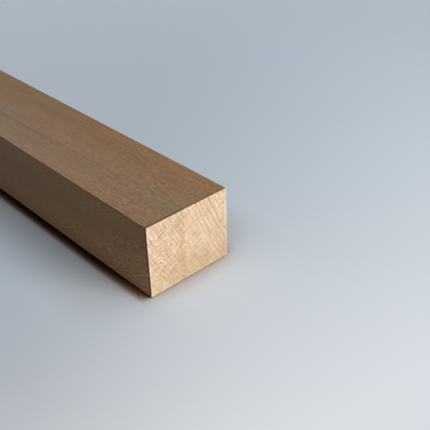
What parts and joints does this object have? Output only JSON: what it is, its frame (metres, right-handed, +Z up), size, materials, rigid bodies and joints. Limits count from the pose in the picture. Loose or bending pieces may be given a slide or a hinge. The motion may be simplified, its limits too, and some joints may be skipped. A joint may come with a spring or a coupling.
{
  "type": "hardwood batten",
  "caption": "Planed hardwood batten with square edges, sawn square at both ends; stock for framing, spacing and joinery.",
  "frame": {"origin": "centre of the underside, on the floor the batten lies on", "axes": "+X along the grain, towards the end that the picture shows; +Y across the wide face; +Z up through the thickness"},
  "size_m": [1, 0.05, 0.04],
  "materials": {
    "wood": "bare, planed on four faces, sawn ends"
  },
  "bodies": {
    "root": {"batten": "wood"}
  },
  "joints": []
}
